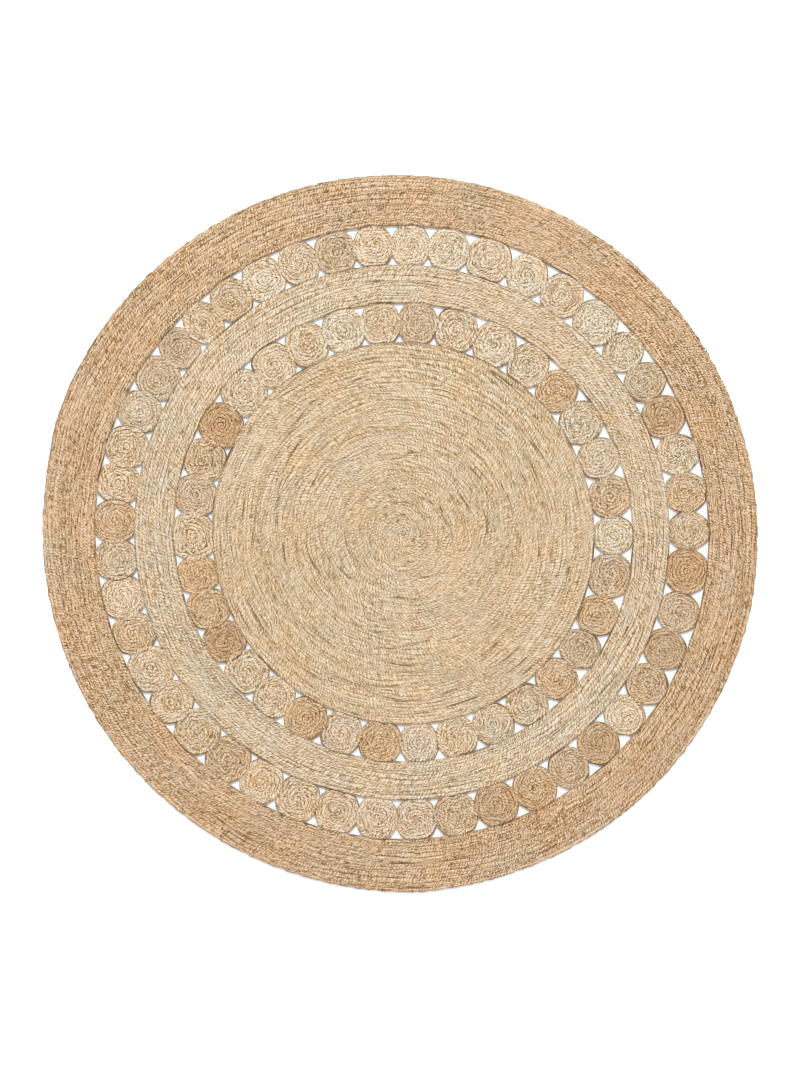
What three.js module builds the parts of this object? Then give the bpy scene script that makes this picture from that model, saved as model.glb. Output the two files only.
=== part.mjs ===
// A round hemp rug, sewn together from flat three-strand hemp braid: a disc in the middle, two flat bands
// around it, and two rings of small coils that join them. Where two coils meet they leave a three-sided
// opening against the band on each side of their seam.
import * as THREE from 'three';

// Sizes are in millimetres and angles in degrees, anticlockwise from +X as seen from above.
const THICKNESS = 9;
const GAP = 0.3; // between two pieces whose sides are sewn together

// Round edges from the middle out: the mean radius, and where the edge's own centre lies.
const EDGES = {
  disc: { radius: 400, x: 7, y: -2 },
  middleInside: { radius: 478, x: 7, y: 0 },
  middleOutside: { radius: 560, x: 4, y: 0 },
  outerInside: { radius: 640, x: 4, y: 0 },
  rug: { radius: 749, x: 0, y: 0 },
};

// Every edge is pulled a little out of round, along the same line.
const OVAL = { stretch: 3, along: -45 };

// The last row of braid swells the rug's outside where it ends, and so does each place where a new length
// was joined in. A swell grows over `grow` degrees up to its peak and dies away over `fade` degrees.
const SWELLS = [
  { peak: 162, by: 6.5, grow: 80, fade: 9 },
  { peak: 273, by: 5.5, grow: 30, fade: 20 },
  { peak: 347, by: 2.5, grow: 18, fade: 14 },
];
const OUTSIDE_FACETS = 120;

// The two rings of coils. The coils share out the ring anticlockwise from `start`, each with one letter
// for its size and one for its tint. The openings beside the inside and outside band are three-sided:
// `width` along the band, and `depth` to the point where the two coils meet.
const INNER_RING = {
  inside: EDGES.disc,
  outside: EDGES.middleInside,
  start: 4.4,
  sizes: 'wmwmmwwnnmmmwmnnxsnnmnmmwnmmmmnmxn',
  tints: 'tgghpcposcssgrtoshhusshphpsggtohoc',
  insideOpening: { width: 22, depth: 17.5 },
  outsideOpening: { width: 29, depth: 21 },
};
const OUTER_RING = {
  inside: EDGES.middleOutside,
  outside: EDGES.outerInside,
  start: 4.1,
  sizes: 'mmwnnxwmxmnnmnmnssmnnnmnmnwnwwmwwmmwwwnmnmmmxn',
  tints: 'tguogapcpcccogctsoogsshgstssstssspptuhoucouort',
  insideOpening: { width: 25, depth: 18.5 },
  outsideOpening: { width: 33, depth: 23 },
};
const COIL_SIZES = { s: 0.88, n: 0.95, m: 1, w: 1.06, x: 1.13 };

// The braid was drawn tighter on one side of the rug, so the openings are larger towards `widest`.
const OPENING_SPREAD = { by: 0.2, widest: 0 };
const OUTWARD_PUSH = 3.5; // how far a coil presses into the band outside it
const CORNER_BULGE = 0.075; // how far a coil's corner bows out, as a share of its span
const OUTER_SIDE_FACETS = 3; // in a coil's side against the band outside it
const INNER_SIDE_FACETS = 2; // in its side against the band inside it
const CORNER_FACETS = 3;

// Undyed hemp as it comes, from bleached lengths to weathered ones.
const HEMP = {
  a: 0xd8c8af, // ash
  c: 0xdfccae, // cream
  g: 0xd1bea1, // grey
  h: 0xc9a981, // honey
  o: 0xc6ae8e, // olive
  p: 0xd4bca0, // pink
  r: 0xc59e76, // rust
  s: 0xd6bd99, // sand
  t: 0xccb18c, // tan
  u: 0xbc9a75, // umber
};
const DISC_COLOUR = 0xd5bb98;
const MIDDLE_COLOUR = 0xd4bd9f;
const OUTER_COLOUR = 0xcaab87;
const HEMP_ROUGHNESS = 0.85;

const { degToRad, radToDeg, euclideanModulo } = THREE.MathUtils;

// A point on a round edge, moved out by `shift`, at an angle about the edge's own centre.
function edgePoint(edge, angle, shift = 0) {
  const oval = OVAL.stretch * Math.cos(degToRad(2 * (angle - OVAL.along)));
  const radius = edge.radius + oval + shift;
  return new THREE.Vector2(
    edge.x + radius * Math.cos(degToRad(angle)),
    edge.y + radius * Math.sin(degToRad(angle)),
  );
}

// How far the rug's outside swells at an angle.
function swellAt(angle) {
  let swell = 0;
  for (const { peak, by, grow, fade } of SWELLS) {
    const past = euclideanModulo(angle - peak + 180, 360) - 180;
    const share = past < 0 ? 1 + past / grow : 1 - past / fade;
    swell += by * Math.max(0, share) ** 2;
  }
  return swell;
}

function rugOutline() {
  const points = [];
  for (let i = 0; i < OUTSIDE_FACETS; i += 1) {
    const angle = (360 * i) / OUTSIDE_FACETS;
    points.push(edgePoint(EDGES.rug, angle, swellAt(angle)));
  }
  return points;
}

// A ring's seams, each with its angle and the scale of its openings. The first comes again at the end.
function ringSeams(ring) {
  const shares = [...ring.sizes].map((letter) => COIL_SIZES[letter]);
  const whole = shares.reduce((sum, share) => sum + share, 0);
  const seams = [];
  let angle = ring.start;
  for (const share of [...shares, 0]) {
    const scale = 1 + OPENING_SPREAD.by * Math.cos(degToRad(angle - OPENING_SPREAD.widest));
    seams.push({ angle, scale });
    angle += (360 * share) / whole;
  }
  return seams;
}

// One side of a coil, against the band inside or outside it, anticlockwise from seam to seam. The band's
// own edge runs through the same angles, `shift` away, so the two are parallel.
function coilSide(edge, opening, from, to, { facets, push, shift }) {
  const halfSpan = radToDeg(opening.width / 2 / edge.radius);
  const first = from.angle + halfSpan * from.scale;
  const last = to.angle - halfSpan * to.scale;
  const points = [];
  for (let i = 0; i <= facets; i += 1) {
    const along = i / facets;
    const bow = push * Math.sin(Math.PI * along);
    points.push(edgePoint(edge, first + (last - first) * along, bow + shift));
  }
  return points;
}

function innerSide(ring, from, to, shift) {
  const form = { facets: INNER_SIDE_FACETS, push: 0, shift };
  return coilSide(ring.inside, ring.insideOpening, from, to, form);
}

function outerSide(ring, from, to, shift) {
  const form = { facets: OUTER_SIDE_FACETS, push: OUTWARD_PUSH, shift };
  return coilSide(ring.outside, ring.outsideOpening, from, to, form);
}

// The whole edge of a band along a ring of coils: the sides of all the coils, straight across the openings.
function bandEdge(ring, side) {
  const seams = ringSeams(ring);
  return seams.slice(1).flatMap((seam, i) => side(ring, seams[i], seam, 0));
}

// Where a seam meets the openings at its inner and outer end, `aside` of the seam itself.
function seamEnds(ring, seam, aside) {
  const inside = edgePoint(ring.inside, seam.angle);
  const outside = edgePoint(ring.outside, seam.angle);
  const outward = outside.clone().sub(inside).normalize();
  const sideways = new THREE.Vector2(-outward.y, outward.x).multiplyScalar(aside);
  return {
    inner: inside.add(sideways).addScaledVector(outward, ring.insideOpening.depth * seam.scale),
    outer: outside.add(sideways).addScaledVector(outward, -ring.outsideOpening.depth * seam.scale),
  };
}

// The points between the two ends of a coil's corner, bowed out to the right of the way between them.
function cornerPoints(from, to) {
  const way = to.clone().sub(from);
  const right = new THREE.Vector2(way.y, -way.x);
  const points = [];
  for (let i = 1; i < CORNER_FACETS; i += 1) {
    const along = i / CORNER_FACETS;
    const bow = CORNER_BULGE * 4 * along * (1 - along);
    points.push(from.clone().addScaledVector(way, along).addScaledVector(right, bow));
  }
  return points;
}

// The anticlockwise outline of the coils between the first and the last of these seams, as one piece.
function coilOutline(ring, seams) {
  const last = seams.length - 1;
  const ends = seams.map((seam, i) => {
    const aside = { 0: GAP / 2, [last]: -GAP / 2 }[i] ?? 0;
    return seamEnds(ring, seam, aside);
  });
  const outer = [];
  const inner = [];
  for (let i = 0; i < last; i += 1) {
    const high = outerSide(ring, seams[i], seams[i + 1], -GAP);
    const low = innerSide(ring, seams[i], seams[i + 1], GAP).reverse();
    const start = ends[i];
    const stop = ends[i + 1];
    outer.push(start.outer, ...cornerPoints(start.outer, high[0]), ...high);
    outer.push(...cornerPoints(high.at(-1), stop.outer));
    const back = [stop.inner, ...cornerPoints(stop.inner, low[0]), ...low];
    back.push(...cornerPoints(low.at(-1), start.inner));
    inner.unshift(...back);
  }
  return [...outer, ends[last].outer, ...inner, ends[0].inner];
}

// A piece of the rug: an outline, with or without a hole in it, as thick as the braid.
function flatPiece(name, colour, outline, hole) {
  const shape = new THREE.Shape(outline);
  if (hole) {
    shape.holes.push(new THREE.Path(hole));
  }
  const geometry = new THREE.ExtrudeGeometry(shape, { depth: THICKNESS, bevelEnabled: false });
  const material = new THREE.MeshStandardMaterial({
    color: colour,
    roughness: HEMP_ROUGHNESS,
    metalness: 0,
  });
  const mesh = new THREE.Mesh(geometry, material);
  mesh.name = name;
  return mesh;
}

// A ring of coils, with `together` neighbouring coils in each piece.
function ringOfCoils(ring, name, together) {
  const seams = ringSeams(ring);
  const pieces = [];
  for (let i = 0; i < ring.sizes.length; i += together) {
    const numbers = Array.from({ length: together }, (_, n) => String(i + n + 1).padStart(2, '0'));
    const outline = coilOutline(ring, seams.slice(i, i + together + 1));
    pieces.push(flatPiece(`${name}_${numbers.join('_')}`, HEMP[ring.tints[i]], outline));
  }
  return pieces;
}

const rug = new THREE.Group();
const outline = rugOutline();
const box = new THREE.Box2().setFromPoints(outline);
const middle = box.getCenter(new THREE.Vector2());
rug.position.set(-middle.x, -middle.y, 0);

const discEdge = bandEdge(INNER_RING, innerSide);
const middleInside = bandEdge(INNER_RING, outerSide);
const middleOutside = bandEdge(OUTER_RING, innerSide);
const outerInside = bandEdge(OUTER_RING, outerSide);
rug.add(flatPiece('centre_disc', DISC_COLOUR, discEdge));
rug.add(...ringOfCoils(INNER_RING, 'inner_coil', 1));
rug.add(flatPiece('middle_band', MIDDLE_COLOUR, middleOutside, middleInside));
rug.add(...ringOfCoils(OUTER_RING, 'outer_coils', 2));
rug.add(flatPiece('outer_band', OUTER_COLOUR, outline, outerInside));

export default rug;
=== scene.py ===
"""A round hemp rug: flat three-strand braid, wound and sewn side to side into a disc, two bands and two
rings of small coils, lying flat on a white floor."""
import math

import bpy
import numpy as np
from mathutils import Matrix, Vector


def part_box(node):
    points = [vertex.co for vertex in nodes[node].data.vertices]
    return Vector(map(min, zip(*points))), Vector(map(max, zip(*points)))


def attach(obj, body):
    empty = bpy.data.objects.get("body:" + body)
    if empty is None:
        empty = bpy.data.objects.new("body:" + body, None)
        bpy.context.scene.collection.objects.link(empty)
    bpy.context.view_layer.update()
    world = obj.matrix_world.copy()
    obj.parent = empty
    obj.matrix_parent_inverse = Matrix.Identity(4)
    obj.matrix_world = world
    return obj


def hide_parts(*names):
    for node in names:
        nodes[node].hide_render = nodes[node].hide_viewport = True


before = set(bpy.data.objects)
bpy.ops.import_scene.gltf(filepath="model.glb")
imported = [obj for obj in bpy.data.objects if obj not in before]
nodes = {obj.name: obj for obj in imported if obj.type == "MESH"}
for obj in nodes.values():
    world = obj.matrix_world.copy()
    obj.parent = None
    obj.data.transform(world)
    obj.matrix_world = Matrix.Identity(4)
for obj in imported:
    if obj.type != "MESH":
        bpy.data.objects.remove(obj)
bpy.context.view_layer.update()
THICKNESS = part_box("centre_disc")[1][2]

# The braid, in metres. Each row is sewn well over the row before it, so only one column of laps shows: the
# stretches of the three strands, one after the other, that lean across the row from seam to seam.
BRAID_WIDTH = 0.0118
STRANDS = 3.0
STEPS_A_LAP = 2  # the groove before it, and its crown
GROOVE_DEPTH = 0.0014
CROWN = 0.97  # of the thickness, the highest that a lap comes
UNEVENNESS = 0.08  # of a lap's height, between one lap and the next
SLACK = 0.4  # of a step, by which laps are longer or shorter than each other
PULL = 2.5  # laps, by which the braid is drawn along where it's pulled tight
PULLS_A_METRE = 14.0
END_LAPS = 5.0  # over which a strand's run across the braid eases off at the braid's two ends
SEED = 7  # for the slack of each step and the height of each lap

# The braid's sides. A loose side is one that no row holds, at the edges of the disc, bands and coils.
EDGE_PINCH = 0.12  # of the half width, where one lap turns under and the next comes out
LOOSE_EDGE_PINCH = 0.35  # the same on a loose side, for a looseness of 1
LOOSE_FULLNESS = 0.4  # by which a loose side stands higher than one that is sewn down
LOOSENESS_AT_RIM = 1.0
LOOSENESS_AT_OTHER_EDGES = 0.06
TUCKS_A_METRE = 9.0  # how often a side changes from tucked in deep to tucked in little
LOOSE_WAVES_A_METRE = 60.0  # how often a loose side changes from proud to drawn in
SIDES_APART = 90.0  # metres of noise between the tucks on one side and those on the other

# The braid's section, a closed ring of points: across from -1 to 1, height as a share of the thickness.
SECTION = ((-1.0, 0.68), (-0.3, CROWN), (0.3, CROWN), (1.0, 0.68), (0.45, 0.0), (-0.45, 0.0))

# How each part of the rug is wound: its rows of braid, the length of a lap in metres, the laps that a
# strand runs on by as it goes from one side of the braid to the other, the share of a turn over which the
# braid moves out to its next row, the angle where it begins, in degrees, and whether a strand runs on
# inwards or outwards.
WINDINGS = {
    "centre_disc": {
        "rows": 72, "lap": 0.007, "run_on": 1.1, "shift": 0.25, "begins": 200, "lean": "outwards",
    },
    "middle_band": {
        "rows": 12, "lap": 0.0076, "run_on": 1.1, "shift": 0.2, "begins": 250, "lean": "inwards",
    },
    "outer_band": {
        "rows": 17, "lap": 0.0065, "run_on": 0.9, "shift": 0.16, "begins": 170, "lean": "inwards",
    },
    "coil": {
        "rows": 6, "lap": 0.0072, "run_on": 1.0, "shift": 0.5, "begins": 0, "lean": "inwards",
    },
}
BAND_EASE = 1  # degrees, over which the corners of the disc's and the bands' outlines are eased
COIL_EASE = 5  # degrees, the same for a coil
COIL_TURN = 137.5  # degrees, from where one coil begins to where the next one does
COIL_LAPS = 1000  # laps from one coil's straw to the next one's, more than a coil has
OUTER_RING_STARTS = 50  # the number of the outer ring's first coil, past all those of the inner ring
POINT_SPACING = 0.004  # metres, along the line of a braid
TIGHTEST_TURN = 0.006  # metres, the least radius that the points are spaced for
LEAST_ROW = 0.0006  # metres, the width to which a row tapers where it begins and ends
HEART_POWER = 2.5  # of the share of the way out, by which a coil's turns take the shape of its outline

# The seams between rows wander from their places, by the sum of a number of waves. They are calm at the
# heart and at the outer edge, over so many rows.
WANDER = 0.55  # of a row's width
WANDER_WAVES = 24
CALM_HEART_ROWS = 6
CALM_EDGE_ROWS = 2

# Undyed hemp, one colour a batch of straw, as sRGB.
DISC_HEMP = "#b39775"
MIDDLE_BAND_HEMP = "#b3997a"
OUTER_BAND_HEMP = "#af8c65"
COIL_HEMPS = {
    "t": "#af906d",  # tan
    "a": "#b59e81",  # ash
    "c": "#b9a082",  # cream
    "g": "#b29879",  # grey
    "h": "#ad8b65",  # honey
    "o": "#aa8d6c",  # olive
    "p": "#b59a7c",  # pink
    "r": "#a57f56",  # rust
    "s": "#b69a79",  # sand
    "u": "#a4825d",  # umber
}
# The batch that each coil is braided from, in order round its ring.
INNER_COIL_BATCHES = "tgghpcposcssgrtoshhusshphpsggtohoc"
OUTER_COIL_BATCHES = "tguogapcpcccogctsoogsshgstssstssspptuhoucouort"


def linear(code):
    """A linear colour from an sRGB hex code."""
    parts = [int(code[i : i + 2], 16) / 255 for i in (1, 3, 5)]
    return [c / 12.92 if c <= 0.04045 else ((c + 0.055) / 1.055) ** 2.4 for c in parts] + [1.0]


def add_node(tree, kind, inputs=(), **settings):
    """A new node with its settings. inputs are values, sockets, or nodes that stand for their first output
    in use, in order or by the socket's name."""
    node = tree.nodes.new(kind)
    for name, value in settings.items():
        setattr(node, name, value)
    places = inputs.items() if isinstance(inputs, dict) else enumerate(inputs)
    for place, value in places:
        if isinstance(value, bpy.types.Node):
            value = next(s for s in value.outputs if s.enabled)
        if isinstance(value, bpy.types.NodeSocket):
            tree.links.new(value, node.inputs[place])
        else:
            node.inputs[place].default_value = value
    return node


# ---------------------------------------------------------------- camera, floor and light

def set_the_stage():
    """A camera straight above, a white floor, a cool soft light from the far side and a pale surround."""
    scene = bpy.context.scene
    scene.view_settings.view_transform = "Standard"
    scene.cycles.pixel_filter_type = "BOX"  # a crisp lens
    scene.cycles.filter_width = 1.0
    camera = bpy.data.cameras.new("camera")
    camera.lens = 85.0
    camera.sensor_width = 36.0
    frame_height = 2.2295  # metres from the near edge of the view to the far one, level with the rug's top
    camera_object = bpy.data.objects.new("camera", camera)
    camera_height = THICKNESS + frame_height * camera.lens / camera.sensor_width
    camera_object.location = (0.0, 0.0, camera_height)
    scene.collection.objects.link(camera_object)
    scene.camera = camera_object

    # Matt white paint scatters the light evenly, so the floor shows no reflection of the lamp.
    paint = bpy.data.materials.new("matt_white_floor_paint")
    paint.use_nodes = True
    paint_shader = paint.node_tree.nodes["Principled BSDF"]
    paint_shader.inputs["Base Color"].default_value = linear("#f8f8f8")
    paint_shader.inputs["Roughness"].default_value = 0.9
    paint_shader.inputs["Specular IOR Level"].default_value = 0.1
    floor_mesh = bpy.data.meshes.new("floor")
    reach = 9.0  # metres, from the rug's middle
    corners = [(-reach, -reach, 0.0), (reach, -reach, 0.0), (reach, reach, 0.0), (-reach, reach, 0.0)]
    floor_mesh.from_pydata(corners, [], [(0, 1, 2, 3)])
    floor_mesh.materials.append(paint)
    floor = bpy.data.objects.new("floor", floor_mesh)
    scene.collection.objects.link(floor)

    softbox = bpy.data.lights.new("softbox", "AREA")
    softbox.shape = "RECTANGLE"
    softbox.size = 4.8
    softbox.size_y = 3.2
    softbox.energy = 820.0
    softbox.color = linear("#e0f7ff")[:3]
    softbox_object = bpy.data.objects.new("softbox", softbox)
    softbox_object.location = (0.0, 5.2, 8.2)
    softbox_object.rotation_euler = (-math.radians(32.0), 0.0, 0.0)
    scene.collection.objects.link(softbox_object)

    surround = bpy.data.worlds.new("pale_studio")
    surround.use_nodes = True
    background = surround.node_tree.nodes["Background"]
    background.inputs["Color"].default_value = linear("#ffffff")
    background.inputs["Strength"].default_value = 1.05
    scene.world = surround


# ---------------------------------------------------------------- the braid

def braid_section(lean):
    """The ring of points that the braid's tree sweeps along a row. lead is the share of its way across the
    braid that a strand has run at each of them."""
    mesh = bpy.data.meshes.new("braid_section")
    points = [(across, height, 0.0) for across, height in SECTION]
    mesh.from_pydata(points, [(i, (i + 1) % len(points)) for i in range(len(points))], [])
    way = 1.0 if lean == "outwards" else -1.0
    values = {
        "across": [across for across, height in SECTION],
        "height": [height for across, height in SECTION],
        "lead": [0.5 + 0.5 * way * across for across, height in SECTION],
    }
    for name, numbers in values.items():
        mesh.attributes.new(name, "FLOAT", "POINT").data.foreach_set("value", numbers)
    section = bpy.data.objects.new("braid_section", mesh)
    bpy.context.scene.collection.objects.link(section)
    return section


BRAID_ATTRIBUTES = ("across", "height", "lead", "distance", "step", "row_width", "loose_side")
BRAID_SIZES = (
    "Lap Length", "Run On", "Thickness", "Groove Depth", "Edge Pinch", "Loose Edge Pinch", "Unevenness",
    "Slack", "Pull", "Tucked",
)
BRAID_NUMBERS = ("First Lap", "First Step", "Last Step", "Seed")


def braid_tree():
    """Geometry nodes that turn a line of points, each with the width of the row there, into flat braid."""
    tree = bpy.data.node_groups.new("flat_braid", "GeometryNodeTree")
    sockets = tree.interface
    sockets.new_socket("Geometry", in_out="OUTPUT", socket_type="NodeSocketGeometry")
    sockets.new_socket("Geometry", in_out="INPUT", socket_type="NodeSocketGeometry")
    sockets.new_socket("Section", in_out="INPUT", socket_type="NodeSocketObject")
    sockets.new_socket("Material", in_out="INPUT", socket_type="NodeSocketMaterial")
    for name in BRAID_SIZES:
        sockets.new_socket(name, in_out="INPUT", socket_type="NodeSocketFloat")
    for name in BRAID_NUMBERS:
        sockets.new_socket(name, in_out="INPUT", socket_type="NodeSocketInt")
    given = add_node(tree, "NodeGroupInput").outputs

    # The row's line, cut into even steps, each point with its number and its distance from the start.
    line = add_node(tree, "GeometryNodeMeshToCurve", [given["Geometry"]])
    step_length = add_node(tree, "ShaderNodeMath", [given["Lap Length"], STEPS_A_LAP], operation="DIVIDE")
    line = add_node(tree, "GeometryNodeResampleCurve", {"Curve": line, "Length": step_length}, mode="LENGTH")
    place = add_node(tree, "GeometryNodeSplineParameter")
    number = add_node(tree, "GeometryNodeInputIndex")
    for name, value in (("distance", place.outputs["Length"]), ("step", number)):
        line = add_node(
            tree, "GeometryNodeStoreNamedAttribute", {"Geometry": line, "Name": name, "Value": value}
        )
    whole = add_node(tree, "GeometryNodeCurveLength", [line])

    # The stretch of it that this piece is made of, with the section swept along it.
    before = add_node(tree, "ShaderNodeMath", [number, given["First Step"]], operation="LESS_THAN")
    after = add_node(tree, "ShaderNodeMath", [number, given["Last Step"]], operation="GREATER_THAN")
    outside = add_node(tree, "ShaderNodeMath", [before, after], operation="MAXIMUM")
    stretch = add_node(
        tree, "GeometryNodeDeleteGeometry", {"Geometry": line, "Selection": outside}, domain="POINT"
    )
    section = add_node(tree, "GeometryNodeObjectInfo", {"Object": given["Section"]})
    section = add_node(tree, "GeometryNodeMeshToCurve", [section.outputs["Geometry"]])
    braid = add_node(
        tree, "GeometryNodeCurveToMesh", {"Curve": stretch, "Profile Curve": section, "Fill Caps": True}
    )
    across, height, lead, distance, step, width, loose_side = (
        add_node(tree, "GeometryNodeInputNamedAttribute", {"Name": name}, data_type="FLOAT")
        for name in BRAID_ATTRIBUTES
    )

    # Where each point lies: as far on along the line as its strand has run, less near the braid's ends.
    slack = add_node(
        tree, "FunctionNodeRandomValue", {"ID": step, "Seed": given["Seed"]}, data_type="FLOAT"
    )
    slack = add_node(tree, "ShaderNodeMath", [slack, given["Slack"]], operation="MULTIPLY")
    slack = add_node(tree, "ShaderNodeMath", [slack, STEPS_A_LAP], operation="DIVIDE")
    lead = add_node(tree, "ShaderNodeMath", [lead, given["Run On"], slack], operation="MULTIPLY_ADD")
    left = add_node(tree, "ShaderNodeMath", [whole, distance], operation="SUBTRACT")
    room = add_node(tree, "ShaderNodeMath", [left, distance], operation="MINIMUM")
    room = add_node(tree, "ShaderNodeMath", [room, given["Lap Length"]], operation="DIVIDE")
    room = add_node(tree, "ShaderNodeMath", [room, 1.0 / END_LAPS], operation="MULTIPLY", use_clamp=True)
    # The braid is pulled tighter in some places than in others.
    pull = add_node(
        tree, "ShaderNodeTexNoise", {"W": distance, "Scale": PULLS_A_METRE, "Detail": 1.0},
        noise_dimensions="1D",
    )
    pull = add_node(tree, "ShaderNodeMath", [pull, 0.5], operation="SUBTRACT")
    lead = add_node(tree, "ShaderNodeMath", [pull, given["Pull"], lead], operation="MULTIPLY_ADD")
    run = add_node(tree, "ShaderNodeMath", [lead, given["Lap Length"]], operation="MULTIPLY")
    run = add_node(tree, "ShaderNodeMath", [run, room, distance], operation="MULTIPLY_ADD")
    there = add_node(
        tree, "GeometryNodeSampleCurve", {"Curves": line, "Value": width, "Length": run}, mode="LENGTH"
    ).outputs
    side = add_node(
        tree, "ShaderNodeVectorMath", [there["Tangent"], (0.0, 0.0, 1.0)], operation="CROSS_PRODUCT"
    )

    # How far aside it lies. The sides are pinched in at the grooves, the most where they are loose.
    past_groove = add_node(tree, "ShaderNodeMath", [step, STEPS_A_LAP], operation="FLOORED_MODULO")
    in_groove = add_node(tree, "ShaderNodeMath", [past_groove, 0.5], operation="LESS_THAN")
    looseness = add_node(
        tree, "ShaderNodeMath", [loose_side, across], operation="MULTIPLY", use_clamp=True
    )
    loose_pinch = add_node(
        tree, "ShaderNodeMath", [looseness, given["Loose Edge Pinch"]], operation="MULTIPLY"
    )
    loose = add_node(tree, "ShaderNodeMath", [looseness, 0.0], operation="GREATER_THAN")
    pinch = add_node(tree, "ShaderNodeMix", {"Factor": loose, "A": given["Edge Pinch"], "B": loose_pinch})
    pinch = add_node(tree, "ShaderNodeMath", [in_groove, pinch], operation="MULTIPLY")
    pinch = add_node(tree, "ShaderNodeMath", [1.0, pinch], operation="SUBTRACT")
    # They are tucked in more in some places than in others, and a loose side is uneven.
    tuck_place = add_node(tree, "ShaderNodeMath", [across, 0.0], operation="GREATER_THAN")
    tuck_place = add_node(
        tree, "ShaderNodeMath", [tuck_place, SIDES_APART, distance], operation="MULTIPLY_ADD"
    )
    tuck = add_node(
        tree, "ShaderNodeTexNoise", {"W": tuck_place, "Scale": TUCKS_A_METRE, "Detail": 1.0},
        noise_dimensions="1D",
    )
    tuck = add_node(tree, "ShaderNodeMapRange", [tuck, 0.3, 0.7, 0.5, 1.5])
    loose_tuck = add_node(
        tree, "ShaderNodeTexNoise", {"W": distance, "Scale": LOOSE_WAVES_A_METRE, "Detail": 2.0},
        noise_dimensions="1D",
    )
    loose_tuck = add_node(tree, "ShaderNodeMapRange", [loose_tuck, 0.35, 0.65, 0.0, -1.0])
    loose_tuck = add_node(tree, "ShaderNodeMath", [loose_tuck, looseness, 1.0], operation="MULTIPLY_ADD")
    tuck = add_node(tree, "ShaderNodeMix", {"Factor": loose, "A": tuck, "B": loose_tuck})
    tuck = add_node(tree, "ShaderNodeMath", [tuck, given["Tucked"]], operation="MULTIPLY")
    half = add_node(tree, "ShaderNodeMath", [there["Value"], 0.5, tuck], operation="MULTIPLY_ADD")
    aside = add_node(tree, "ShaderNodeMath", [across, half], operation="MULTIPLY")
    aside = add_node(tree, "ShaderNodeMath", [aside, pinch], operation="MULTIPLY")
    offset = add_node(tree, "ShaderNodeVectorMath", {0: side, "Scale": aside}, operation="SCALE")
    flat_place = add_node(tree, "ShaderNodeVectorMath", [there["Position"], offset], operation="ADD")

    # How high it lies: the section's height, sunk in the grooves, and a little different in each lap.
    lap = add_node(tree, "ShaderNodeMath", [step, STEPS_A_LAP], operation="DIVIDE")
    lap_number = add_node(tree, "ShaderNodeMath", [lap], operation="FLOOR")
    swell = add_node(
        tree, "FunctionNodeRandomValue", {"ID": lap_number, "Seed": given["Seed"]}, data_type="FLOAT"
    )
    swell = add_node(tree, "ShaderNodeMath", [swell, given["Unevenness"]], operation="MULTIPLY")
    swell = add_node(tree, "ShaderNodeMath", [1.0, swell], operation="SUBTRACT")
    full = add_node(tree, "ShaderNodeMath", [loose, LOOSE_FULLNESS, 1.0], operation="MULTIPLY_ADD")
    full = add_node(tree, "ShaderNodeMath", [height, full], operation="MULTIPLY")
    full = add_node(tree, "ShaderNodeMath", [full, CROWN], operation="MINIMUM")
    level = add_node(tree, "ShaderNodeMath", [full, given["Thickness"]], operation="MULTIPLY")
    level = add_node(tree, "ShaderNodeMath", [level, swell], operation="MULTIPLY")
    depth = add_node(tree, "ShaderNodeMath", [in_groove, given["Groove Depth"]], operation="MULTIPLY")
    depth = add_node(tree, "ShaderNodeMath", [depth, height], operation="MULTIPLY")
    level = add_node(tree, "ShaderNodeMath", [level, depth], operation="SUBTRACT")
    up = add_node(tree, "ShaderNodeCombineXYZ", {"Z": level})
    position = add_node(tree, "ShaderNodeVectorMath", [flat_place, up], operation="ADD")
    braid = add_node(tree, "GeometryNodeSetPosition", {"Geometry": braid, "Position": position})

    # How near it is to the seam with the next row, for the material's painted shade at the seams: 0 at the
    # row's middle, 1 at the seam.
    row_half = add_node(tree, "ShaderNodeMath", [there["Value"], 0.5], operation="MULTIPLY")
    to_seam = add_node(tree, "ShaderNodeMath", [aside, row_half], operation="DIVIDE")
    to_seam = add_node(tree, "ShaderNodeMath", [to_seam], operation="ABSOLUTE")
    braid = add_node(
        tree, "GeometryNodeStoreNamedAttribute", {"Geometry": braid, "Name": "to_seam", "Value": to_seam}
    )
    # The braid's own coordinates, for its material: laps along it, and from -1 to 1 across it.
    along = add_node(tree, "ShaderNodeMath", [lap, given["First Lap"]], operation="ADD")
    coordinates = add_node(tree, "ShaderNodeCombineXYZ", [along, across])
    braid = add_node(
        tree, "GeometryNodeStoreNamedAttribute",
        {"Geometry": braid, "Name": "braid", "Value": coordinates},
        data_type="FLOAT2", domain="CORNER",
    )
    for name in BRAID_ATTRIBUTES:
        braid = add_node(tree, "GeometryNodeRemoveAttribute", {"Geometry": braid, "Name": name})
    braid = add_node(tree, "GeometryNodeSetShadeSmooth", [braid])
    braid = add_node(tree, "GeometryNodeRealizeInstances", [braid])
    braid = add_node(tree, "GeometryNodeSetMaterial", {"Geometry": braid, "Material": given["Material"]})
    add_node(tree, "NodeGroupOutput", [braid])
    return tree


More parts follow.
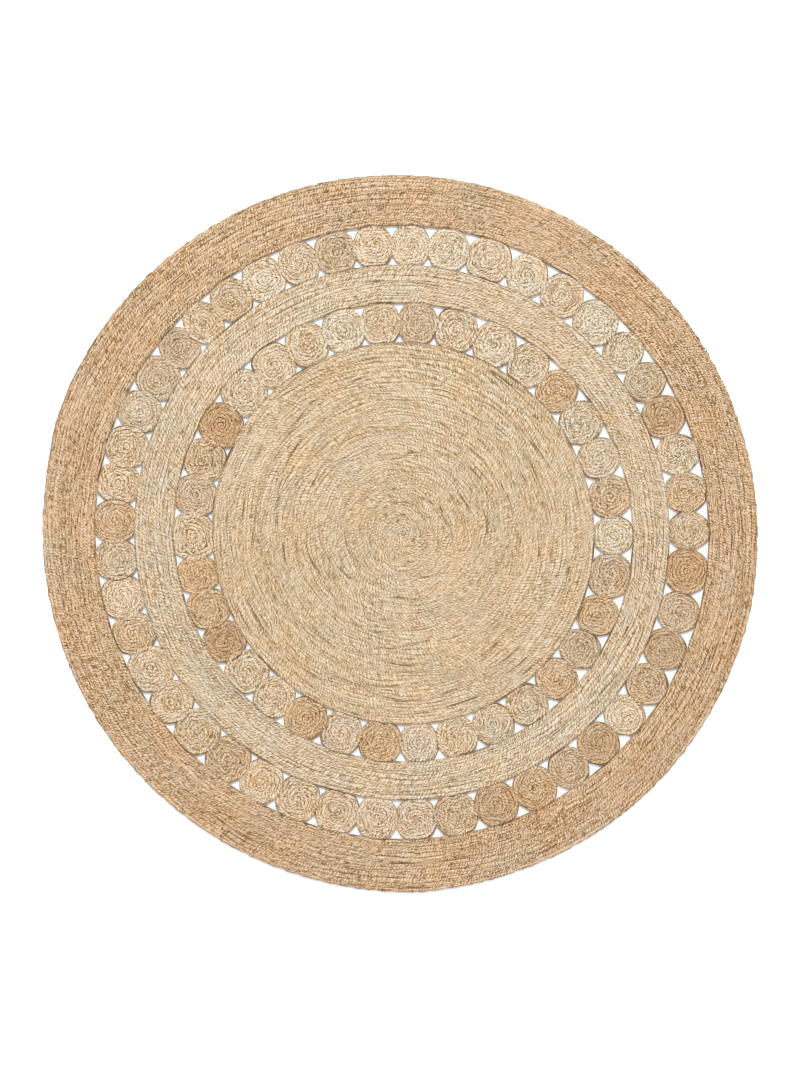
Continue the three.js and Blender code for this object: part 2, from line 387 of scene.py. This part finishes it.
def flat_braid(name, wound, kind, material, first_lap=0, stretch=(0.0, 1.0)):
    """A piece of braid along a line of points on the floor. stretch is the share of the line that it is
    made of."""
    line, widths, loose_sides, tucked = wound
    mesh = bpy.data.meshes.new(name)
    count = len(line)
    points = np.column_stack([line, np.zeros(count)])
    mesh.from_pydata(points, [(i, i + 1) for i in range(count - 1)], [])
    mesh.attributes.new("row_width", "FLOAT", "POINT").data.foreach_set("value", widths)
    mesh.attributes.new("loose_side", "FLOAT", "POINT").data.foreach_set("value", loose_sides)
    guide = bpy.data.objects.new(name + "_line", mesh)
    bpy.context.scene.collection.objects.link(guide)
    length = np.linalg.norm(np.diff(line, axis=0), axis=1).sum()
    how = WINDINGS[kind]
    lap_length = how["lap"]
    steps = length / lap_length * STEPS_A_LAP
    to_the_end = STEPS_A_LAP if stretch[1] == 1.0 else 0
    settings = {
        "Section": SECTION_RINGS[how["lean"]],
        "Material": material,
        "Lap Length": lap_length,
        "Run On": how["run_on"],
        "Thickness": THICKNESS,
        "Groove Depth": GROOVE_DEPTH,
        "Edge Pinch": EDGE_PINCH,
        "Loose Edge Pinch": LOOSE_EDGE_PINCH,
        "Unevenness": UNEVENNESS,
        "Slack": SLACK,
        "Pull": PULL,
        "Tucked": tucked,
        "First Lap": first_lap,
        "First Step": int(stretch[0] * steps),
        "Last Step": int(stretch[1] * steps) + to_the_end,
        "Seed": SEED + first_lap,
    }
    modifier = guide.modifiers.new("flat_braid", "NODES")
    modifier.node_group = BRAID_TREE
    for socket in BRAID_TREE.interface.items_tree:
        if socket.in_out == "INPUT" and socket.name in settings:
            modifier[socket.identifier] = settings[socket.name]
    made = guide.evaluated_get(bpy.context.evaluated_depsgraph_get())
    finished = bpy.data.objects.new(name, bpy.data.meshes.new_from_object(made))
    finished.data.name = name
    bpy.context.scene.collection.objects.link(finished)
    bpy.data.objects.remove(guide)
    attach(finished, "root")
    return finished


# ---------------------------------------------------------------- the edges that the rows follow

def slices(loop):
    """Twice the area between each side of a loop of points and the origin, below 0 where the loop runs
    clockwise."""
    onward = np.roll(loop, -1, axis=0)
    return loop[:, 0] * onward[:, 1] - onward[:, 0] * loop[:, 1]


def area_of(loop):
    """The area inside a loop of points."""
    return abs(slices(loop).sum()) / 2


def middle_of(loop):
    """The centre of the area inside a loop of points."""
    onward = np.roll(loop, -1, axis=0)
    parts = slices(loop)
    return ((loop + onward) * parts[:, None]).sum(axis=0) / (3 * parts.sum())


def rims(name):
    """The loops of points around the top of a CAD node, the largest first."""
    mesh = nodes[name].data
    points = np.empty(len(mesh.vertices) * 3)
    mesh.vertices.foreach_get("co", points)
    points = np.round(points.reshape(-1, 3), 6)
    top = points[:, 2].max() - 1e-5
    keys = [tuple(p) for p in points]
    edges = set()
    for face in mesh.polygons:
        corners = [keys[i] for i in face.vertices]
        if min(c[2] for c in corners) > top:
            edges.update(zip(corners, corners[1:] + corners[:1]))
    onward = {a: b for a, b in edges if (b, a) not in edges}
    loops = []
    for start in sorted(onward):
        loop = []
        while start in onward:
            loop.append(start[:2])
            start = onward.pop(start)
        if loop:
            loops.append(np.array(loop))
    return sorted(loops, key=area_of, reverse=True)


def apart(loop):
    """The two coils that share a node, in order round the ring, parted where their outline is nipped in the
    most."""
    back = loop - np.roll(loop, 1, axis=0)
    onward = np.roll(loop, -1, axis=0) - loop
    turn = back[:, 0] * onward[:, 1] - back[:, 1] * onward[:, 0]
    turn /= np.linalg.norm(back, axis=1) * np.linalg.norm(onward, axis=1)
    if slices(loop).sum() < 0:
        turn = -turn
    first, second = sorted(np.argsort(turn)[:2])
    pair = [loop[first : second + 1], np.concatenate([loop[second:], loop[: first + 1]])]
    (x, y), (u, v) = (middle_of(coil) for coil in pair)
    return pair if x * v > y * u else pair[::-1]


DEGREES = np.arange(360)


def edge_radius(loop, centre, ease):
    """How far a loop of points is from a centre, at each whole degree, with its corners eased over so many
    degrees."""
    away = loop - centre
    angles = np.degrees(np.arctan2(away[:, 1], away[:, 0])) % 360
    order = np.argsort(angles)
    radii = np.interp(DEGREES, angles[order], np.hypot(*away.T)[order], period=360)
    reach = np.arange(-3 * ease, 3 * ease + 1)
    weights = np.exp(-((reach / ease) ** 2) / 2)
    wrapped = np.concatenate([radii, radii, radii])
    return np.convolve(wrapped, weights / weights.sum(), mode="same")[360:720]


def winding(kind, centre, inner, outer, turn_way=1, begins=None, seed=0, round_heart=False):
    """The line of a braid wound from an inner edge to an outer one, the row's width at each point, how loose
    the braid is there at the side that no row holds (above 0 on the right side and below 0 on the left),
    and how much of each side of the braid is tucked in under the row beside it."""
    rows = WINDINGS[kind]["rows"]
    tucked = (BRAID_WIDTH - (outer.mean() - inner.mean()) / rows) / 2
    shift = WINDINGS[kind]["shift"]
    begins = WINDINGS[kind]["begins"] if begins is None else begins
    rng = np.random.default_rng(seed)
    waves = [
        (rng.uniform(0.3, 1.5) * rng.choice([-1, 1]), int(rng.integers(2, 12)), rng.uniform(0, 2 * math.pi))
        for _ in range(WANDER_WAVES)
    ]

    def moved_out(turns):
        """The rows between the inner edge and the near side of the braid, after so many turns."""
        ramp = np.clip((turns % 1.0 - (1.0 - shift)) / shift, 0.0, 1.0)
        return np.floor(turns) + ramp * ramp * (3.0 - 2.0 * ramp)

    def wander(rows_out, degrees):
        """How far a seam lies off its place, in rows."""
        total = sum(np.sin(k * rows_out + m * np.radians(degrees) + phase) for k, m, phase in waves)
        freedom = np.minimum(rows_out / CALM_HEART_ROWS, (rows - rows_out) / CALM_EDGE_ROWS)
        return WANDER * total / math.sqrt(len(waves) / 2) * np.clip(freedom, 0, 1)

    inner = inner + tucked * (inner > 0)
    outer = outer - tucked

    def radius(rows_out, degrees):
        """How far a seam is from the centre."""
        share = (rows_out + wander(rows_out, degrees)) / rows
        near = np.interp(degrees, DEGREES, inner, period=360)
        far = np.interp(degrees, DEGREES, outer, period=360)
        if round_heart:
            typical = outer.mean()
            return typical * share + (far - typical) * share**HEART_POWER
        return near + (far - near) * share

    turns = [-shift]
    while turns[-1] < rows:
        here = max(0.5, float(np.clip(turns[-1] + 0.5, 0.0, rows)))
        typical = inner.mean() + (outer.mean() - inner.mean()) * here / rows
        turns.append(turns[-1] + POINT_SPACING / (2.0 * math.pi * max(typical, TIGHTEST_TURN)))
    turns = np.array(turns[:-1])
    degrees = (begins + turn_way * 360.0 * turns) % 360.0
    near = radius(np.clip(moved_out(turns), 0.0, rows), degrees)
    far = radius(np.clip(moved_out(turns) + 1.0, 0.0, rows), degrees)
    middle = (near + far) / 2.0
    angles = np.radians(degrees)
    line = centre + np.column_stack([middle * np.cos(angles), middle * np.sin(angles)])
    way = np.gradient(line, axis=0)
    way /= np.linalg.norm(way, axis=1)[:, None]
    slant = np.abs(way[:, 1] * np.cos(angles) - way[:, 0] * np.sin(angles))
    last_turn = turns > rows - 1.0
    first_turn = (turns < 1.0) & (inner.max() > 0)
    outside = LOOSENESS_AT_RIM if kind == "outer_band" else LOOSENESS_AT_OTHER_EDGES
    loose = np.where(last_turn, outside, 0) - np.where(first_turn, LOOSENESS_AT_OTHER_EDGES, 0)
    return line, np.maximum((far - near) * slant, LEAST_ROW), turn_way * loose, tucked


# ---------------------------------------------------------------- materials

# The straw's yarns and fibres, in the braid's own coordinates: how many there are in a lap and in half the
# braid's width, and the detail and roughness of their noise. A strand runs straight across the braid in
# these coordinates, and so do its yarns and fibres. They are drawn coarser than real ones, so that they
# show: a yarn is about 2.4 mm wide, and a bundle of fibres 1.3 mm. Other fibres cross over these and lie
# along the braid, about 2.5 mm apart and 18 mm long.
STRAW = {
    "yarns": ((2.9, 1.1, 1.0), 0.0, 0.5),
    "crossings": ((0.4, 2.4, 1.0), 1.0, 0.5),
    "fibres": ((5.2, 2.2, 1.0), 2.0, 0.6),
}
# How often the shade of a strand and of the whole braid changes, in cycles a lap: a strand's lasts about
# 230 mm or 20 mm, and the braid's 180 mm or 700 mm.
STRAND_CHANGES = (0.03, 0.35)
BRAID_CHANGES = (0.04, 0.01)
STRANDS_APART = 7.3  # cells of noise between one strand's shades and the next one's
# How often the rug's shade and hue change from place to place, in cycles a metre: patches of about 200 mm
# and 90 mm.
SHADE_PATCHES = 5.0
HUE_PATCHES = 11.0
# Long stretches of painted shade, where a seam opens, come and go along a seam, in cycles a lap: each is up
# to about 90 mm long.
SEAM_OPENINGS = 0.08
# A lap's number times one of these gives a random number of its own.
LOOSENESS_KEY = 0.61
HUE_KEY = 0.37
# What a hue of 1 adds to the colour, which makes it pinker. A hue of -1 makes it greener.
PINKNESS = (0.13, -0.06, -0.27)
# Painted shade in the gaps: what is left of the colour outside the gaps, and what the painted shade of a gap
# takes from it. It is browner, as light that comes out of a gap has been from straw to straw.
OPEN_LIGHT = (1.24, 1.26, 1.28)
PAINTED_GAP_SHADE = (-0.84, -0.97, -1.1)


def shade_of_straw(tree, along, lap, place, straw, variety):
    """The shade of the straw, about 1: of each lap, of each of the three strands as it runs on, of the whole
    braid as it runs on, of the rug from place to place, and of the yarns and fibres. With it comes the
    strand's shade alone, the quicker of the two."""
    lap_shade = add_node(tree, "ShaderNodeTexWhiteNoise", {"W": lap}, noise_dimensions="1D").outputs["Value"]
    strand = add_node(tree, "ShaderNodeMath", [lap, STRANDS], operation="FLOORED_MODULO")
    strand_shades = []
    for often in STRAND_CHANGES:
        strand_place = add_node(tree, "ShaderNodeMath", [along, often], operation="MULTIPLY")
        strand_step = add_node(
            tree, "ShaderNodeMath", [strand, STRANDS_APART, often], operation="MULTIPLY_ADD"
        )
        strand_place = add_node(tree, "ShaderNodeCombineXYZ", [strand_place, strand_step])
        strand_shades.append(add_node(
            tree, "ShaderNodeTexNoise", {"Vector": strand_place, "Scale": 1.0, "Detail": 1.0},
            noise_dimensions="2D",
        ))
    braid_shades = [
        add_node(
            tree, "ShaderNodeTexNoise", {"W": along, "Scale": often, "Detail": 1.0}, noise_dimensions="1D"
        )
        for often in BRAID_CHANGES
    ]
    patch_shade = add_node(
        tree, "ShaderNodeTexNoise",
        {"Vector": place, "Scale": SHADE_PATCHES, "Detail": 2.0, "Roughness": 0.6},
    )
    shade = 1.0
    for part, weight in (
        (lap_shade, 0.15),
        (strand_shades[0], 0.82),
        (strand_shades[1], 0.4),
        (braid_shades[0], 0.35),
        (braid_shades[1], 0.3),
        (patch_shade, 0.3),
        (straw["yarns"], 1.4),
        (straw["crossings"], 1.5),
        (straw["fibres"], 1.5),
    ):
        part = add_node(tree, "ShaderNodeMath", [part, 0.5], operation="SUBTRACT")
        shade = add_node(tree, "ShaderNodeMath", [part, weight * variety, shade], operation="MULTIPLY_ADD")
    return add_node(tree, "ShaderNodeClamp", [shade, 0.2, 1.27]), strand_shades[1]


def painted_shade_in_gaps(tree, along, lap, fibres):
    """Painted shade of the gaps, from 0 to 1, for how deep in a gap each place is: where one lap goes under
    the next, the most at the seams, here and there all along a seam, and where the fibres part."""
    past_groove = add_node(tree, "ShaderNodeMath", [along], operation="FRACT")
    from_crown = add_node(tree, "ShaderNodeMath", [past_groove, 0.5], operation="SUBTRACT")
    from_crown = add_node(tree, "ShaderNodeMath", [from_crown], operation="ABSOLUTE")
    lap_gap_shade = add_node(tree, "ShaderNodeMapRange", [from_crown, 0.3, 0.48, 0.0, 1.0])
    to_seam = add_node(tree, "ShaderNodeAttribute", attribute_name="to_seam").outputs["Fac"]
    nip = add_node(tree, "ShaderNodeMapRange", [to_seam, 0.3, 0.9, 0.35, 1.0])
    gap = add_node(tree, "ShaderNodeMath", [lap_gap_shade, nip], operation="MULTIPLY")
    # Looser laps get deeper painted shade in their gaps.
    looseness = add_node(tree, "ShaderNodeMath", [lap, LOOSENESS_KEY], operation="MULTIPLY")
    looseness = add_node(tree, "ShaderNodeTexWhiteNoise", {"W": looseness}, noise_dimensions="1D")
    looseness = add_node(tree, "ShaderNodeMath", [looseness, 1.6, 0.1], operation="MULTIPLY_ADD")
    gap = add_node(tree, "ShaderNodeMath", [gap, looseness], operation="MULTIPLY", use_clamp=True)
    seam = add_node(tree, "ShaderNodeMapRange", [to_seam, 0.76, 0.96, 0.0, 1.0])
    opened = add_node(
        tree, "ShaderNodeTexNoise", {"W": along, "Scale": SEAM_OPENINGS, "Detail": 2.0},
        noise_dimensions="1D",
    )
    opened = add_node(tree, "ShaderNodeMapRange", [opened, 0.47, 0.7, 0.17, 1.15])
    gap = add_node(tree, "ShaderNodeMath", [seam, opened, gap], operation="MULTIPLY_ADD")
    split = add_node(tree, "ShaderNodeMapRange", [fibres, 0.42, 0.3, 0.0, 1.0])
    gap = add_node(tree, "ShaderNodeMath", [gap, split], operation="MAXIMUM")
    return add_node(tree, "ShaderNodeMath", [gap, 1.0], operation="MINIMUM")


def hue_of_straw(tree, lap, strand_shade, place):
    """What the hue multiplies the batch's colour by: some laps, strands and patches are pinker and some
    greener than the batch."""
    hue = add_node(tree, "ShaderNodeMath", [lap, HUE_KEY], operation="MULTIPLY")
    hue = add_node(tree, "ShaderNodeTexWhiteNoise", {"W": hue}, noise_dimensions="1D").outputs["Value"]
    hue = add_node(tree, "ShaderNodeMath", [hue, 0.2, -1.4], operation="MULTIPLY_ADD")
    hue = add_node(tree, "ShaderNodeMath", [strand_shade, 1.0, hue], operation="MULTIPLY_ADD")
    patch_hue = add_node(
        tree, "ShaderNodeTexNoise",
        {"Vector": place, "Scale": HUE_PATCHES, "Detail": 2.0, "Roughness": 0.6},
    )
    hue = add_node(tree, "ShaderNodeMath", [patch_hue, 1.6, hue], operation="MULTIPLY_ADD")
    hue = add_node(tree, "ShaderNodeVectorMath", {0: PINKNESS, "Scale": hue}, operation="SCALE")
    return add_node(tree, "ShaderNodeVectorMath", [hue, (1.0, 1.0, 1.0)], operation="ADD")


def hemp_braid(name, colour, variety=1.0, browning=1.9):
    """Undyed hemp straw, flat-braided. The stiff, slightly waxy fibres give it a low sheen along each
    strand, the straw differs in colour from strand to strand and lap to lap, and the gaps between laps are
    painted dark, as shade. variety is how much the shades differ, and browning how much faster blue fades in
    dark straw."""
    material = bpy.data.materials.new(name)
    material.use_nodes = True
    tree = material.node_tree
    shader = tree.nodes["Principled BSDF"]
    shader.inputs["Specular IOR Level"].default_value = 0.6
    # The fibres lie across the row, a quarter turn from its way.
    shader.inputs["Anisotropic"].default_value = 0.9
    shader.inputs["Anisotropic Rotation"].default_value = 0.25
    row_way = add_node(tree, "ShaderNodeTangent", direction_type="UV_MAP", uv_map="braid")
    tree.links.new(row_way.outputs["Tangent"], shader.inputs["Tangent"])

    place = add_node(tree, "ShaderNodeTexCoord").outputs["Object"]
    braid = add_node(tree, "ShaderNodeUVMap", uv_map="braid")
    along = add_node(tree, "ShaderNodeSeparateXYZ", [braid]).outputs["X"]
    lap = add_node(tree, "ShaderNodeMath", [along], operation="FLOOR")
    straw = {}
    for part, (cells, detail, roughness) in STRAW.items():
        straw_place = add_node(tree, "ShaderNodeVectorMath", [braid, cells], operation="MULTIPLY")
        straw[part] = add_node(
            tree, "ShaderNodeTexNoise",
            {"Vector": straw_place, "Scale": 1.0, "Detail": detail, "Roughness": roughness},
            noise_dimensions="2D",
        )
    shade, strand_shade = shade_of_straw(tree, along, lap, place, straw, variety)
    gap = painted_shade_in_gaps(tree, along, lap, straw["fibres"])

    hue = hue_of_straw(tree, lap, strand_shade, place)
    tinted = add_node(tree, "ShaderNodeVectorMath", [hue, linear(colour)[:3]], operation="MULTIPLY")
    # Dark straw is browner than light straw, so blue changes the most with the shade and red the least.
    shades = [
        add_node(tree, "ShaderNodeMath", [shade, power], operation="POWER")
        for power in (0.7, 1.05, browning)
    ]
    shades = add_node(tree, "ShaderNodeCombineXYZ", shades)
    tinted = add_node(tree, "ShaderNodeVectorMath", [tinted, shades], operation="MULTIPLY")
    # Painted shade: the gaps darken the colour and make it browner.
    lost = add_node(tree, "ShaderNodeVectorMath", {0: PAINTED_GAP_SHADE, "Scale": gap}, operation="SCALE")
    kept = add_node(tree, "ShaderNodeVectorMath", [lost, OPEN_LIGHT], operation="ADD")
    tinted = add_node(tree, "ShaderNodeVectorMath", [tinted, kept], operation="MULTIPLY")
    tree.links.new(tinted.outputs["Vector"], shader.inputs["Base Color"])
    # No sheen comes out of the gaps.
    roughness = add_node(tree, "ShaderNodeMapRange", [gap, 0.0, 0.8, 0.42, 1.0])
    tree.links.new(roughness.outputs["Result"], shader.inputs["Roughness"])
    bump = add_node(tree, "ShaderNodeBump", {"Height": straw["fibres"], "Strength": 0.5, "Distance": 0.0012})
    tree.links.new(bump.outputs["Normal"], shader.inputs["Normal"])
    return material


# ---------------------------------------------------------------- the pieces of the rug

def lay(node_name):
    """Hides the CAD solid that a finished piece of flat braid is laid in place of."""
    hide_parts(node_name)


def wind_round(node_name, material, lengths):
    """The disc or a band, made as a few lengths of a single braid. A band is wound round the rug's middle,
    and the disc round its own."""
    loops = rims(node_name)
    if len(loops) > 1:
        centre = np.zeros(2)
        inner = edge_radius(loops[1], centre, BAND_EASE)
    else:
        centre = middle_of(loops[0])
        inner = np.zeros(360)
    outer = edge_radius(loops[0], centre, BAND_EASE)
    wound = winding(node_name, centre, inner, outer)
    for suffix, stretch in lengths:
        piece = flat_braid(node_name + suffix, wound, node_name, material, stretch=stretch)
        lay(node_name)


def wind_coil(name, node_name, loop, batch, number):
    """A coil inside a loop of points. Each begins at another place round its heart, and every third is
    wound the other way."""
    centre = middle_of(loop)
    outer = edge_radius(loop, centre, COIL_EASE)
    begins = math.degrees(math.atan2(-centre[1], -centre[0])) + COIL_TURN * number
    way = 1 if number % 3 else -1
    wound = winding("coil", centre, np.zeros(360), outer, way, begins, number, round_heart=True)
    piece = flat_braid(name, wound, "coil", coil_hemps[batch], first_lap=COIL_LAPS * number)
    lay(node_name)


set_the_stage()
SECTION_RINGS = {lean: braid_section(lean) for lean in ("inwards", "outwards")}
BRAID_TREE = braid_tree()

disc_hemp = hemp_braid("braided_disc_hemp", DISC_HEMP, variety=0.8)
middle_hemp = hemp_braid("braided_middle_band_hemp", MIDDLE_BAND_HEMP, variety=0.95)
outer_hemp = hemp_braid("braided_outer_band_hemp", OUTER_BAND_HEMP, variety=1.5, browning=2.2)
coil_hemps = {
    batch: hemp_braid(f"braided_coil_hemp_{batch}", colour) for batch, colour in COIL_HEMPS.items()
}

# The disc and the bands are made as a few lengths, because one sheet may be 30 m long at most.
QUARTERS = (
    ("_heart_rows", (0.0, 0.25)),
    ("_inner_rows", (0.25, 0.5)),
    ("_outer_rows", (0.5, 0.75)),
    ("_edge_rows", (0.75, 1.0)),
)
HALVES = (("_inner_rows", (0.0, 0.5)), ("_outer_rows", (0.5, 1.0)))
THIRDS = (("_inner_rows", (0.0, 1 / 3)), ("_middle_rows", (1 / 3, 2 / 3)), ("_outer_rows", (2 / 3, 1.0)))
wind_round("centre_disc", disc_hemp, QUARTERS)
wind_round("middle_band", middle_hemp, HALVES)
wind_round("outer_band", outer_hemp, THIRDS)

for i, batch in enumerate(INNER_COIL_BATCHES):
    number = i + 1
    node_name = f"inner_coil_{number:02d}"
    wind_coil(f"inner_ring_coil_{number:02d}", node_name, rims(node_name)[0], batch, number)
for i in range(0, len(OUTER_COIL_BATCHES), 2):
    node_name = f"outer_coils_{i + 1:02d}_{i + 2:02d}"
    for j, loop in enumerate(apart(rims(node_name)[0]), start=i):
        name = f"outer_ring_coil_{j + 1:02d}"
        wind_coil(name, node_name, loop, OUTER_COIL_BATCHES[j], OUTER_RING_STARTS + j)

for ring in SECTION_RINGS.values():
    bpy.data.objects.remove(ring)
